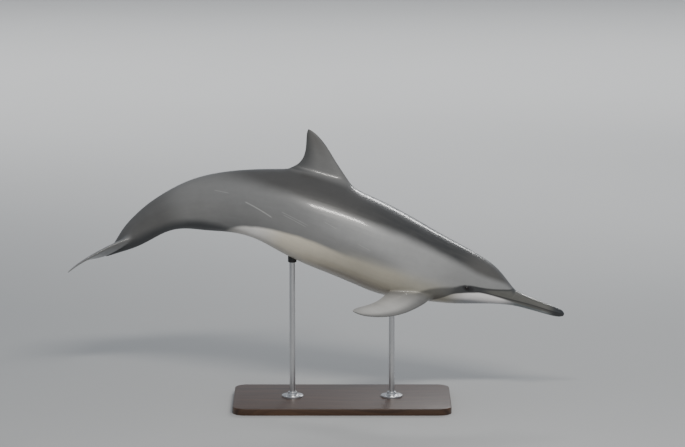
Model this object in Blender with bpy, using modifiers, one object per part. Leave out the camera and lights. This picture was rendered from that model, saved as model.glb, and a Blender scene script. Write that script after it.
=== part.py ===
"""A spinner dolphin at life size, caught in an arched leap and held up by a plain display stand.

The animal is modelled whole and straight, as one coarse cage in which every face knows the piece it belongs
to. The cage is smoothed by a Subdivision Surface, parted along its own loops into the pieces that a person
would name, with a thin gap at each seam, and bent along its spine into the leap.

Body coordinates are (along, side, up): metres from the snout tip towards the tail, to the animal's left of
its plane of symmetry, and above the spine. World coordinates have +X towards the head, +Y to the animal's
left and +Z up, with the origin under the middle of the stand's base.
"""

import math
from collections import namedtuple

import bmesh
import bpy
from mathutils import Matrix, Vector

GAP = 0.0005  # between two pieces that meet

# ------------------------------------------------------------------ the animal's sizes, in metres

BODY_LENGTH = 1.94  # snout tip to fluke notch, along the spine
SNOUT_FRONT = -0.013  # of the cage, which the smoothing draws in

Girth = namedtuple("Girth", "along back belly half waist ridge")
# Height of the back and depth of the belly from the spine, half the width, the level of the widest line,
# and how far the section is drawn out into a keel above and below. The mouth runs along the widest line.
GIRTHS = (
    Girth(SNOUT_FRONT, 0.0015, -0.0132, 0.0078, -0.0062, 0.0),
    Girth(-0.006, 0.007, -0.017, 0.0105, -0.0072, 0.0),
    Girth(0.012, 0.0105, -0.0245, 0.016, -0.0085, 0.0),
    Girth(0.100, 0.0125, -0.032, 0.023, -0.0105, 0.0),
    Girth(0.180, 0.0155, -0.0405, 0.036, -0.0145, 0.0),
    Girth(0.200, 0.021, -0.045, 0.042, -0.0165, 0.0),
    Girth(0.250, 0.052, -0.058, 0.057, -0.022, -0.05),
    Girth(0.300, 0.079, -0.0755, 0.071, -0.028, -0.05),
    Girth(0.360, 0.0945, -0.099, 0.086, -0.036, 0.0),
    Girth(0.440, 0.108, -0.127, 0.101, -0.037, 0.0),
    Girth(0.550, 0.1235, -0.152, 0.122, -0.036, 0.0),
    Girth(0.700, 0.149, -0.184, 0.146, -0.030, 0.0),
    Girth(0.850, 0.165, -0.175, 0.151, -0.012, 0.0),
    Girth(1.000, 0.168, -0.174, 0.142, 0.0, 0.04),
    Girth(1.150, 0.159, -0.152, 0.119, 0.0, 0.10),
    Girth(1.300, 0.126, -0.120, 0.088, 0.0, 0.22),
    Girth(1.450, 0.110, -0.111, 0.059, 0.002, 0.36),
    Girth(1.600, 0.080, -0.060, 0.036, 0.003, 0.42),
    Girth(1.740, 0.064, -0.049, 0.023, 0.001, 0.30),
    Girth(1.800, 0.054, -0.041, 0.020, 0.0, 0.20),
    Girth(1.870, 0.024, -0.020, 0.015, 0.0, 0.0),
    Girth(BODY_LENGTH, 0.006, -0.006, 0.009, 0.0, 0.0),
)
CAGE_SWELL = 1.02  # the smoothing draws the cage in by about this share

# Pitch of the spine above level, its turn towards the animal's left, and its roll with the left side up, in
# degrees, seen from tail to head.
Pose = namedtuple("Pose", "along pitch yaw roll")
POSES = (
    Pose(0.00, -20.8, 0.0, 0.0),
    Pose(0.94, -20.8, 0.0, 0.0),
    Pose(1.10, -17.6, 1.5, 0.0),
    Pose(1.24, -8.2, 4.0, 0.0),
    Pose(1.38, 3.6, 8.0, 0.0),
    Pose(1.50, 15.2, 13.0, 0.5),
    Pose(1.60, 24.8, 18.0, 2.0),
    Pose(1.72, 35.4, 24.0, 4.0),
    Pose(1.82, 35.0, 28.5, 6.0),
    Pose(BODY_LENGTH, 30.5, 32.5, 6.0),
)
SNOUT_TIP = Vector((0.845, 0.0, 0.360))  # in world coordinates
SPINE_STEP = 0.005

# ------------------------------------------------------------------ the pieces and the cage's rings

PIECE_LOOKS = {
    "beak_upper": "back_skin",
    "jaw_lower": "jaw_skin",
    "head": "flank_skin",
    "neck": "flank_skin",
    "chest": "flank_skin",
    "trunk": "flank_skin",
    "tail_stock": "back_skin",
    "dorsal_fin": "fin_skin",
    "flipper_left": "fin_skin",
    "flipper_right": "fin_skin",
    "fluke_left": "fin_skin",
    "fluke_right": "fin_skin",
}
PIECES = list(PIECE_LOOKS)

ROW_ANGLES = (90, 68, 45, 22, 0, -18, -34, -50, -68, -90)  # down one side, from the back to the belly
ROWS = 2 * (len(ROW_ANGLES) - 1)
WIDEST_ROW = 4  # the flukes grow from it, and the mouth runs along it
FLIPPER_ROW = 7

RingSpan = namedtuple("RingSpan", "piece feature start end steps")
RING_SPANS = (
    RingSpan("beak_upper", "snout tip", SNOUT_FRONT, 0.004, 2),
    RingSpan("beak_upper", "beak", 0.004, 0.174, 4),
    RingSpan("beak_upper", "foot of the melon", 0.174, 0.190, 1),
    RingSpan("head", "melon front", 0.190, 0.216, 2),
    RingSpan("head", "face", 0.216, 0.345, 3),
    RingSpan("head", "cheek", 0.345, 0.430, 2),
    RingSpan("neck", "neck", 0.430, 0.500, 1),
    RingSpan("chest", "flipper roots", 0.500, 0.650, 3),
    RingSpan("chest", "chest", 0.650, 0.800, 2),
    RingSpan("trunk", "waist", 0.800, 0.910, 1),
    RingSpan("trunk", "dorsal fin root", 0.910, 1.165, 3),
    RingSpan("trunk", "loin", 1.165, 1.250, 1),
    RingSpan("tail_stock", "tail stock", 1.250, 1.700, 4),
    RingSpan("tail_stock", "fluke insertion", 1.700, 1.775, 1),
    RingSpan("tail_stock", "fluke roots", 1.775, BODY_LENGTH, 3),
)
# The lower jaw lies under these.
MOUTH_FEATURES = ("snout tip", "beak", "foot of the melon", "melon front", "face")

# ------------------------------------------------------------------ the fins, from root to tip

FinSection = namedtuple("FinSection", "nose tail thickness")
DORSAL_FIN = (
    FinSection((0.930, 0, 0.181), (1.166, 0, 0.166), 0.044),
    FinSection((0.962, 0, 0.203), (1.141, 0, 0.186), 0.030),
    FinSection((1.016, 0, 0.243), (1.127, 0, 0.226), 0.021),
    FinSection((1.063, 0, 0.288), (1.133, 0, 0.275), 0.014),
    FinSection((1.101, 0, 0.316), (1.139, 0, 0.309), 0.010),
    FinSection((1.1265, 0, 0.3275), (1.1375, 0, 0.3245), 0.005),
)
FLIPPER = (
    FinSection((0.497, 0.098, -0.120), (0.664, 0.092, -0.146), 0.056),
    FinSection((0.528, 0.126, -0.156), (0.672, 0.124, -0.153), 0.037),
    FinSection((0.573, 0.164, -0.192), (0.688, 0.160, -0.175), 0.026),
    FinSection((0.632, 0.208, -0.219), (0.714, 0.204, -0.193), 0.019),
    FinSection((0.702, 0.250, -0.236), (0.748, 0.248, -0.207), 0.012),
    FinSection((0.746, 0.271, -0.237), (0.771, 0.270, -0.220), 0.008),
    FinSection((0.767, 0.281, -0.231), (0.774, 0.281, -0.227), 0.005),
)
FLUKE = (
    FinSection((1.786, 0.032, 0.004), (1.954, 0.020, 0.001), 0.030),
    FinSection((1.816, 0.064, 0.012), (1.967, 0.056, 0.009), 0.022),
    FinSection((1.854, 0.108, 0.018), (1.958, 0.106, 0.015), 0.016),
    FinSection((1.900, 0.158, 0.018), (1.954, 0.156, 0.015), 0.011),
    FinSection((1.944, 0.204, 0.011), (1.963, 0.204, 0.009), 0.007),
    FinSection((1.966, 0.226, 0.004), (1.972, 0.226, 0.004), 0.005),
)
LEAST_THICKNESS = 0.003  # of a fin's cage, towards its trailing edge

FinRoot = namedtuple("FinRoot", "feature body_piece row sections upward")
UP = Vector((0, 0, 1))


LEFT_FLIPPER_LIFT = 0.030  # how much higher than the right one's its tip is held


def on_side(sections, side, lift=0.0):
    """The sections of a paired fin, on the left (1) or the right (-1), with its tip raised by lift."""
    placed = []
    for k, section in enumerate(sections):
        rise = lift * k / (len(sections) - 1)
        nose, tail = ((x, side * y, z + rise) for x, y, z in (section.nose, section.tail))
        placed.append(FinSection(nose, tail, section.thickness))
    return placed


FIN_ROOTS = {
    "dorsal_fin": FinRoot("dorsal fin root", "trunk", 0, DORSAL_FIN, Vector((0, 1, 0))),
    "flipper_right": FinRoot("flipper roots", "chest", FLIPPER_ROW, on_side(FLIPPER, -1), UP),
    "flipper_left": FinRoot(
        "flipper roots", "chest", -FLIPPER_ROW, on_side(FLIPPER, 1, LEFT_FLIPPER_LIFT), UP
    ),
    "fluke_right": FinRoot("fluke roots", "tail_stock", WIDEST_ROW, on_side(FLUKE, -1), UP),
    "fluke_left": FinRoot("fluke roots", "tail_stock", -WIDEST_ROW, on_side(FLUKE, 1), UP),
}

# ------------------------------------------------------------------ the eyes

EYE = Vector((0.382, 0.0, -0.026))  # in body coordinates, on the plane of symmetry
EYE_RADIUS = 0.0125
EYE_STANDS_OUT = 0.003

# ------------------------------------------------------------------ the stand

BASE_LENGTH, BASE_WIDTH, BASE_THICKNESS = 0.84, 0.44, 0.026
BASE_CORNER, BASE_EDGE = 0.05, 0.004
ROD_RADIUS = 0.011
ROD_IN_BODY = 0.06  # how far a rod runs up inside the animal
ROD_IN_BASE = 0.012
RODS = {"front": ("chest", 0.192), "rear": ("trunk", -0.192)}  # what it holds, and how far forward it stands
FLANGE_RADIUS, FLANGE_THICKNESS, FLANGE_BOSS = 0.042, 0.007, 0.02
ROUND_SEGMENTS = 16

# ------------------------------------------------------------------ colours

Look = namedtuple("Look", "colour roughness metallic")
LOOKS = {
    "back_skin": Look((0.085, 0.085, 0.082), 0.3, 0.0),
    "flank_skin": Look((0.24, 0.24, 0.232), 0.3, 0.0),
    "jaw_skin": Look((0.42, 0.39, 0.37), 0.3, 0.0),
    "fin_skin": Look((0.13, 0.13, 0.122), 0.3, 0.0),
    "eye": Look((0.012, 0.010, 0.009), 0.08, 0.0),
    "stand_steel": Look((0.62, 0.62, 0.63), 0.3, 1.0),
    "stand_wood": Look((0.09, 0.052, 0.032), 0.4, 0.0),
}


def clear_scene():
    for obj in list(bpy.data.objects):
        bpy.data.objects.remove(obj)


def materials():
    made = {}
    for name, look in LOOKS.items():
        material = bpy.data.materials.new(name)
        material.use_nodes = True
        shader = material.node_tree.nodes["Principled BSDF"]
        shader.inputs["Base Color"].default_value = (*look.colour, 1.0)
        shader.inputs["Roughness"].default_value = look.roughness
        shader.inputs["Metallic"].default_value = look.metallic
        made[name] = material
    return made


# ------------------------------------------------------------------ curves through the tables


def smooth_value(rows, column, along):
    """A monotone cubic through one column of a table, read at a distance along the body."""
    if along <= rows[0].along:
        return getattr(rows[0], column)
    if along >= rows[-1].along:
        return getattr(rows[-1], column)
    last = len(rows) - 1
    index = max(i for i in range(last) if rows[i].along <= along)

    def rise(i):
        return (getattr(rows[i + 1], column) - getattr(rows[i], column)) / (rows[i + 1].along - rows[i].along)

    def slope(i):
        if i == 0 or i == last:
            return rise(min(i, last - 1))
        before, after = rise(i - 1), rise(i)
        return 0.0 if before * after <= 0 else 2 * before * after / (before + after)

    width = rows[index + 1].along - rows[index].along
    share = (along - rows[index].along) / width
    start, end = getattr(rows[index], column), getattr(rows[index + 1], column)
    ease = share * share * (3 - 2 * share)
    lift = share * (1 - share) ** 2 * slope(index) - share * share * (1 - share) * slope(index + 1)
    return start + (end - start) * ease + lift * width


def spine_axes(along):
    """The animal's forward, left and up directions at a distance along its spine."""
    pitch = math.radians(smooth_value(POSES, "pitch", along))
    yaw = math.radians(smooth_value(POSES, "yaw", along))
    forward = Vector((math.cos(pitch) * math.cos(yaw), -math.cos(pitch) * math.sin(yaw), math.sin(pitch)))
    left = UP.cross(forward).normalized()
    up = forward.cross(left)
    roll = math.radians(smooth_value(POSES, "roll", along))
    return forward, left * math.cos(roll) + up * math.sin(roll), up * math.cos(roll) - left * math.sin(roll)


def spine_points():
    """Points on the spine every SPINE_STEP, from the snout tip to past the flukes."""
    points = [SNOUT_TIP]
    for step in range(round((BODY_LENGTH + 0.1) / SPINE_STEP)):
        forward = spine_axes((step + 0.5) * SPINE_STEP)[0]
        points.append(points[-1] - forward * SPINE_STEP)
    return points


SPINE = spine_points()


def bend(point):
    """World coordinates of a point given in body coordinates."""
    _, left, up = spine_axes(point.x)
    index = min(max(math.floor(point.x / SPINE_STEP), 0), len(SPINE) - 2)
    middle = SPINE[index] + (SPINE[index + 1] - SPINE[index]) * (point.x / SPINE_STEP - index)
    return middle + left * point.y + up * point.z


# ------------------------------------------------------------------ the cage


def ring_places():
    places = [RING_SPANS[0].start]
    for span in RING_SPANS:
        step = (span.end - span.start) / span.steps
        places += [span.start + step * (i + 1) for i in range(span.steps)]
    return places


def ring_spans_in_order():
    """The span that each step between two rings belongs to."""
    return [span for span in RING_SPANS for _ in range(span.steps)]


def ring_point(along, row):
    """A cage point of the body: row 0 is the back, and the rows go down the right side and up the left."""
    girth = {column: smooth_value(GIRTHS, column, along) for column in Girth._fields[1:]}
    angle = math.radians(ROW_ANGLES[min(row, ROWS - row)])
    side = -1 if row <= ROWS // 2 else 1
    reach = girth["back"] - girth["waist"] if angle > 0 else girth["waist"] - girth["belly"]
    across = girth["half"] * max(math.cos(angle), 0.0) ** (1 + girth["ridge"])
    if row % (ROWS // 2) == 0:
        across = 0.0
    return Vector((along, side * across * CAGE_SWELL, girth["waist"] + reach * math.sin(angle) * CAGE_SWELL))


def add_face(bm, corners, piece):
    bm.faces.new(corners).material_index = PIECES.index(piece)


def bridge(bm, first, second, piece):
    for k in range(len(first)):
        after = (k + 1) % len(first)
        add_face(bm, (first[k], first[after], second[after], second[k]), piece)


def cap(bm, loop):
    """Closes a loop whose first and middle vertices are its two ends, with a ladder between its sides."""
    half = len(loop) // 2
    faces = [bm.faces.new((loop[0], loop[1], loop[-1]))]
    for k in range(1, half - 1):
        faces.append(bm.faces.new((loop[k], loop[k + 1], loop[-k - 1], loop[-k])))
    faces.append(bm.faces.new((loop[half - 1], loop[half], loop[half + 1])))
    return faces


def root_loop(rings, first, last, middle):
    """The edge of a patch of the body two faces wide, from its front middle vertex round one side."""
    rows = [(middle + step) % ROWS for step in (-1, 0, 1)]
    if middle >= 0:
        rows.reverse()
    along = range(first, last + 1)
    loop = [rings[first][rows[1]]] + [rings[i][rows[2]] for i in along]
    return loop + [rings[last][rows[1]]] + [rings[i][rows[0]] for i in reversed(along)]


def foil_thickness(share):
    """Half a fin section's thickness at a share of its chord, over its full thickness."""
    series = 0.2969 * math.sqrt(share) - 0.126 * share - 0.3516 * share**2
    return 5 * (series + 0.2843 * share**3 - 0.1015 * share**4)


def foil_loop(bm, count, section, across):
    """A loop round a fin's section: nose, one side, tail, the other side. across points to the first side."""
    half = count // 2
    nose, tail = Vector(section.nose), Vector(section.tail)
    loop = []
    for k in range(count):
        step = min(k, count - k)
        share = (1 - math.cos(math.pi * step / half)) / 2
        side = 0 if step in (0, half) else (1 if k < half else -1)
        depth = max(foil_thickness(share) * section.thickness, LEAST_THICKNESS / 2)
        loop.append(bm.verts.new(nose + (tail - nose) * share + across * side * depth))
    return loop


def fin_acrosses(sections, upward):
    """The direction through each section of a fin, square to its chord and its span."""
    middles = [(Vector(s.nose) + Vector(s.tail)) / 2 for s in sections]
    found = []
    for k, section in enumerate(sections):
        span = middles[min(k + 1, len(middles) - 1)] - middles[max(k - 1, 0)]
        across = (Vector(section.tail) - Vector(section.nose)).cross(span).normalized()
        found.append(across if across.dot(upward) > 0 else -across)
    return found


def grow_fin(bm, name, root, loop):
    """Builds a fin out from a loop of the body, section by section."""
    piece = root.body_piece
    for section, across in zip(root.sections, fin_acrosses(root.sections, root.upward)):
        outer = foil_loop(bm, len(loop), section, across)
        bridge(bm, loop, outer, piece)
        loop, piece = outer, name
    for face in cap(bm, loop):
        face.material_index = PIECES.index(name)


def cage_mesh():
    """The whole animal, straight, in body coordinates, with each face's piece as its material index."""
    bm = bmesh.new()
    rings = [[bm.verts.new(ring_point(place, row)) for row in range(ROWS)] for place in ring_places()]
    spans = ring_spans_in_order()
    open_faces = set()
    for name, root in FIN_ROOTS.items():
        steps = [i for i, span in enumerate(spans) if span.feature == root.feature]
        open_faces |= {(i, (root.row + side) % ROWS) for i in steps for side in (-1, 0)}
        grow_fin(bm, name, root, root_loop(rings, steps[0], steps[-1] + 1, root.row))
    for i, span in enumerate(spans):
        for row in range(ROWS):
            if (i, row) in open_faces:
                continue
            after = (row + 1) % ROWS
            in_jaw = span.feature in MOUTH_FEATURES and WIDEST_ROW <= row < ROWS - WIDEST_ROW
            corners = (rings[i][row], rings[i][after], rings[i + 1][after], rings[i + 1][row])
            add_face(bm, corners, "jaw_lower" if in_jaw else span.piece)
    for k, face in enumerate(cap(bm, rings[0])):
        face.material_index = PIECES.index("beak_upper" if k < WIDEST_ROW else "jaw_lower")
    for face in cap(bm, rings[-1]):
        face.material_index = PIECES.index("tail_stock")
    bmesh.ops.recalc_face_normals(bm, faces=bm.faces)
    mesh = bpy.data.meshes.new("cage")
    bm.to_mesh(mesh)
    bm.free()
    return mesh


def smooth_mesh():
    """The cage under one level of subdivision, still straight."""
    cage = bpy.data.objects.new("cage", cage_mesh())
    for name in PIECES:
        cage.data.materials.append(bpy.data.materials[PIECE_LOOKS[name]])
    bpy.context.scene.collection.objects.link(cage)
    subdivision = cage.modifiers.new("smooth", "SUBSURF")
    subdivision.levels = subdivision.render_levels = 1
    mesh = bpy.data.meshes.new_from_object(cage.evaluated_get(bpy.context.evaluated_depsgraph_get()))
    bpy.data.objects.remove(cage)
    return mesh


# ------------------------------------------------------------------ parting


def rim_loops(bm):
    """The open edges of a mesh as closed loops of vertices, each from its front end."""
    left = {edge for edge in bm.edges if edge.is_boundary}
    loops = []
    while left:
        edge = left.pop()
        loop = list(edge.verts)
        while loop[-1] is not loop[0]:
            edge = next(e for e in loop[-1].link_edges if e in left)
            left.remove(edge)
            loop.append(edge.other_vert(loop[-1]))
        loop.pop()
        front = min(range(len(loop)), key=lambda k: (abs(loop[k].co.y) > 1e-6, loop[k].co.x))
        loops.append(loop[front:] + loop[:front])
    return loops


def piece_mesh(whole, index):
    """One closed piece of the animal, drawn back by half a gap at each seam and bent into the pose."""
    bm = bmesh.new()
    bm.from_mesh(whole)
    bmesh.ops.delete(bm, geom=[face for face in bm.faces if face.material_index != index], context="FACES")
    loops = rim_loops(bm)
    moves = {}
    for vertex in (v for loop in loops for v in loop):
        inward = sum((face.calc_center_median() - vertex.co for face in vertex.link_faces), Vector())
        moves[vertex] = inward.normalized() * GAP / 2
    for vertex, move in moves.items():
        vertex.co += move
    for loop in loops:
        cap(bm, loop)
    for vertex in bm.verts:
        vertex.co = bend(vertex.co)
    bmesh.ops.triangulate(bm, faces=bm.faces)
    bmesh.ops.recalc_face_normals(bm, faces=bm.faces)
    mesh = bpy.data.meshes.new(PIECES[index])
    bm.to_mesh(mesh)
    bm.free()
    return mesh


def helper(name, mesh, place):
    """A cutter: hidden in renders and left out of the model."""
    obj = bpy.data.objects.new(name, mesh)
    bpy.data.collections["cutters"].objects.link(obj)
    obj.hide_render = True
    obj.display_type = "WIRE"
    obj.location = place
    bpy.context.view_layer.update()
    return obj


def cut_out(obj, cutter):
    modifier = obj.modifiers.new(cutter.name, "BOOLEAN")
    modifier.object = cutter
    modifier.solver = "EXACT"


# ------------------------------------------------------------------ objects


def add_piece(name, mesh, look, place=(0, 0, 0)):
    """A named object of the model."""
    mesh.materials.clear()
    mesh.materials.append(bpy.data.materials[look])
    obj = bpy.data.objects.new(name, mesh)
    bpy.data.collections["spinner_dolphin"].objects.link(obj)
    obj.location = place
    return obj


def shade(obj, angle):
    obj.data.shade_smooth()
    obj.data.set_sharp_from_angle(angle=math.radians(angle))


def add_body():
    whole = smooth_mesh()
    for index, (name, look) in enumerate(PIECE_LOOKS.items()):
        shade(add_piece(name, piece_mesh(whole, index), look), 40)


def ball_mesh(name, radius):
    bm = bmesh.new()
    bmesh.ops.create_uvsphere(bm, u_segments=14, v_segments=8, radius=radius)
    mesh = bpy.data.meshes.new(name)
    bm.to_mesh(mesh)
    bm.free()
    return mesh


def rod_mesh(name, radius, length):
    """An upright rod from its foot at the origin."""
    bm = bmesh.new()
    ends = {"radius1": radius, "radius2": radius, "depth": length, "cap_ends": True}
    bmesh.ops.create_cone(bm, segments=ROUND_SEGMENTS, matrix=Matrix.Translation((0, 0, length / 2)), **ends)
    mesh = bpy.data.meshes.new(name)
    bm.to_mesh(mesh)
    bm.free()
    return mesh


def add_eyes():
    surface = abs(ring_point(EYE.x, WIDEST_ROW).y) / CAGE_SWELL
    for side, name in ((1, "left"), (-1, "right")):
        centre = bend(Vector((EYE.x, side * (surface - EYE_RADIUS + EYE_STANDS_OUT), EYE.z)))
        socket = helper(f"socket_{name}", ball_mesh("socket", EYE_RADIUS + GAP), centre)
        cut_out(bpy.data.objects["head"], socket)
        add_piece(f"eye_{name}", ball_mesh("eye", EYE_RADIUS), "eye", centre).data.shade_smooth()


# ------------------------------------------------------------------ the stand


def add_base():
    bm = bmesh.new()
    bmesh.ops.create_cube(bm, size=1.0)
    bmesh.ops.scale(bm, vec=(BASE_LENGTH, BASE_WIDTH, BASE_THICKNESS), verts=bm.verts)
    upright = [edge for edge in bm.edges if abs(edge.verts[0].co.z - edge.verts[1].co.z) > BASE_THICKNESS / 2]
    bmesh.ops.bevel(bm, geom=upright, offset=BASE_CORNER, segments=6, profile=0.5, affect="EDGES")
    top_rim = [edge for edge in bm.edges if all(vertex.co.z > 0 for vertex in edge.verts)]
    bmesh.ops.bevel(bm, geom=top_rim, offset=BASE_EDGE, segments=1, profile=0.5, affect="EDGES")
    mesh = bpy.data.meshes.new("stand_base")
    bm.to_mesh(mesh)
    bm.free()
    base = add_piece("stand_base", mesh, "stand_wood", (0, 0, BASE_THICKNESS / 2))
    shade(base, 35)
    return base


def belly_height(obj, x):
    """Where an upright line in the plane of symmetry first meets an object from below."""
    _, place, _, _ = obj.ray_cast(Vector((x, 0.0, -1.0)), UP)
    return place.z


def add_rod(name, base, held, x):
    """A rod from its hole in the base up into its hole in the body."""
    foot = BASE_THICKNESS - ROD_IN_BASE
    length = belly_height(held, x) + ROD_IN_BODY - foot
    hole = helper(f"hole_{name}", rod_mesh("hole", ROD_RADIUS + GAP, length + 2 * GAP), (x, 0, foot - GAP))
    cut_out(base, hole)
    cut_out(held, hole)
    rod = add_piece(f"stand_rod_{name}", rod_mesh("rod", ROD_RADIUS, length), "stand_steel", (x, 0, foot))
    shade(rod, 40)


def add_flange(name, x):
    """A turned collar that stands on the base round a rod, with a hair of room all round it."""
    inner = ROD_RADIUS + GAP
    boss = inner + 0.006
    edge = 0.002
    profile = (
        (inner, FLANGE_BOSS),
        (boss, FLANGE_BOSS),
        (boss, FLANGE_THICKNESS),
        (FLANGE_RADIUS - edge, FLANGE_THICKNESS),
        (FLANGE_RADIUS, FLANGE_THICKNESS - edge),
        (FLANGE_RADIUS, 0.0),
        (inner, 0.0),
    )
    bm = bmesh.new()
    corners = [bm.verts.new((radius, 0.0, height)) for radius, height in profile]
    for k, corner in enumerate(corners):
        bm.edges.new((corners[k - 1], corner))
    mesh = bpy.data.meshes.new("flange")
    bm.to_mesh(mesh)
    bm.free()
    flange = add_piece(f"stand_flange_{name}", mesh, "stand_steel", (x, 0, BASE_THICKNESS + GAP))
    turn = flange.modifiers.new("turn", "SCREW")
    turn.steps = turn.render_steps = ROUND_SEGMENTS
    turn.use_merge_vertices = True
    turn.merge_threshold = 0.00001


def add_stand():
    base = add_base()
    bpy.context.view_layer.update()
    for name, (held, x) in RODS.items():
        add_rod(name, base, bpy.data.objects[held], x)
        add_flange(name, x)


def main():
    clear_scene()
    for name in ("spinner_dolphin", "cutters"):
        bpy.context.scene.collection.children.link(bpy.data.collections.new(name))
    materials()
    add_body()
    add_eyes()
    add_stand()
    model = bpy.data.objects.new("spinner_dolphin_model", None)
    bpy.data.collections["spinner_dolphin"].objects.link(model)
    for obj in bpy.data.collections["spinner_dolphin"].objects:
        if obj is not model:
            obj.parent = model


main()
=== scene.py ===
"""The spinner dolphin's finish: one skin over the whole animal, its eyes, the stand and a plain studio.

The skin has the solids' sizes, on a cage with one more ring in the beak. The cage is subdivided, refined
round the eyes, mouth, blowhole and slits, raised and sunk there into lids, lips and folds, and only then bent
along the spine. Each vertex keeps its place on the straight animal, and the markings and the painted shade
are drawn from it.

Body coordinates are (along, side, up): metres from the snout tip towards the tail, to the animal's left, and
above the spine. World coordinates are the frame's: +X towards the head, +Z up.
"""

from collections import namedtuple
from functools import reduce
from math import cos, hypot, pi, radians, sin, sqrt

import bmesh
import bpy
import numpy as np
from mathutils import Matrix, Vector


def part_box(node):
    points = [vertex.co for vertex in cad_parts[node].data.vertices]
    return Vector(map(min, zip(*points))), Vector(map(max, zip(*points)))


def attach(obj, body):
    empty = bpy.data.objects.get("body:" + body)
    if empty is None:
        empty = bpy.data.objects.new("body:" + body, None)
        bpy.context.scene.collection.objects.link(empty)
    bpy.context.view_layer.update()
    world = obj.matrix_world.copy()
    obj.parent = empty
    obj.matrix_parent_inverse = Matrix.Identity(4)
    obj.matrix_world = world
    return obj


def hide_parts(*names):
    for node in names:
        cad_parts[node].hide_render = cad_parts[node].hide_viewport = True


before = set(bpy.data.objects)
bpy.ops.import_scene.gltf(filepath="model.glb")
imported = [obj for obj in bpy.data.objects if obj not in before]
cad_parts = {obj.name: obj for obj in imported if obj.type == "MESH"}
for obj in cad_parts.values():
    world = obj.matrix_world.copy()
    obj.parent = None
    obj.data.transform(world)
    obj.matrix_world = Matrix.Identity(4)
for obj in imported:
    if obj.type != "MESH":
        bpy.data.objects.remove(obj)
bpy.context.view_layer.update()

# ------ the animal's sizes, as in the solids

UP = Vector((0, 0, 1))
BODY_LENGTH = 1.94
SNOUT_FRONT = -0.013


def named_rows(kind, *values):
    return tuple(kind(*row) for row in values)


Girth = namedtuple("Girth", "along back belly half waist ridge", defaults=(0.0,))
GIRTHS = named_rows(
    Girth,
    (SNOUT_FRONT, 0.0015, -0.0132, 0.0078, -0.0062),
    (-0.006, 0.007, -0.017, 0.0105, -0.0072),
    (0.012, 0.0105, -0.0245, 0.016, -0.0085),
    (0.1, 0.0125, -0.032, 0.023, -0.0105),
    (0.18, 0.0155, -0.0405, 0.036, -0.0145),
    (0.2, 0.021, -0.045, 0.042, -0.0165),
    (0.25, 0.052, -0.058, 0.057, -0.022, -0.05),
    (0.3, 0.079, -0.0755, 0.071, -0.028, -0.05),
    (0.36, 0.0945, -0.099, 0.086, -0.036),
    (0.44, 0.108, -0.127, 0.101, -0.037),
    (0.55, 0.1235, -0.152, 0.122, -0.036),
    (0.7, 0.149, -0.184, 0.146, -0.03),
    (0.85, 0.165, -0.175, 0.151, -0.012),
    (1.0, 0.168, -0.174, 0.142, 0.0, 0.04),
    (1.15, 0.159, -0.152, 0.119, 0.0, 0.1),
    (1.3, 0.126, -0.12, 0.088, 0.0, 0.22),
    (1.45, 0.11, -0.111, 0.059, 0.002, 0.36),
    (1.6, 0.08, -0.06, 0.036, 0.003, 0.42),
    (1.74, 0.064, -0.049, 0.023, 0.001, 0.3),
    (1.8, 0.054, -0.041, 0.02, 0.0, 0.2),
    (1.87, 0.024, -0.02, 0.015, 0.0),
    (BODY_LENGTH, 0.006, -0.006, 0.009, 0.0),
)
CAGE_SWELL = 1.02

Pose = namedtuple("Pose", "along pitch yaw roll")
POSES = named_rows(
    Pose,
    (0.0, -20.8, 0.0, 0.0),
    (0.94, -20.8, 0.0, 0.0),
    (1.1, -17.6, 1.5, 0.0),
    (1.24, -8.2, 4.0, 0.0),
    (1.38, 3.6, 8.0, 0.0),
    (1.5, 15.2, 13.0, 0.5),
    (1.6, 24.8, 18.0, 2.0),
    (1.72, 35.4, 24.0, 4.0),
    (1.82, 35.0, 28.5, 6.0),
    (BODY_LENGTH, 30.5, 32.5, 6.0),
)
SNOUT_TIP = Vector((0.845, 0.0, 0.36))
SPINE_STEP = 0.005

ROW_ANGLES = (90, 68, 45, 22, 0, -18, -34, -50, -68, -90)
ROWS = 2 * (len(ROW_ANGLES) - 1)
WIDEST_ROW = 4
FLIPPER_ROW = 7

RingSpan = namedtuple("RingSpan", "feature end steps")
RING_SPANS = named_rows(
    RingSpan,
    ("snout tip", 0.004, 2),
    ("beak", 0.174, 5),
    ("foot of the melon", 0.19, 1),
    ("melon front", 0.216, 2),
    ("face", 0.345, 3),
    ("cheek", 0.43, 2),
    ("neck", 0.5, 1),
    ("flipper", 0.65, 3),
    ("chest", 0.8, 2),
    ("waist", 0.91, 1),
    ("dorsal", 1.165, 3),
    ("loin", 1.25, 1),
    ("tail stock", 1.7, 4),
    ("fluke insertion", 1.775, 1),
    ("fluke", BODY_LENGTH, 3),
)

FinSection = namedtuple("FinSection", "nose tail thickness")
DORSAL_FIN = named_rows(
    FinSection,
    ((0.93, 0, 0.181), (1.166, 0, 0.166), 0.044),
    ((0.962, 0, 0.203), (1.141, 0, 0.186), 0.03),
    ((1.016, 0, 0.243), (1.127, 0, 0.226), 0.021),
    ((1.063, 0, 0.288), (1.133, 0, 0.275), 0.014),
    ((1.101, 0, 0.316), (1.139, 0, 0.309), 0.01),
    ((1.1265, 0, 0.3275), (1.1375, 0, 0.3245), 0.005),
)
FLIPPER = named_rows(
    FinSection,
    ((0.497, 0.098, -0.12), (0.664, 0.092, -0.146), 0.056),
    ((0.528, 0.126, -0.156), (0.672, 0.124, -0.153), 0.037),
    ((0.573, 0.164, -0.192), (0.688, 0.16, -0.175), 0.026),
    ((0.632, 0.208, -0.219), (0.714, 0.204, -0.193), 0.019),
    ((0.702, 0.25, -0.236), (0.748, 0.248, -0.207), 0.012),
    ((0.746, 0.271, -0.237), (0.771, 0.27, -0.22), 0.008),
    ((0.767, 0.281, -0.231), (0.774, 0.281, -0.227), 0.005),
)
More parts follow.
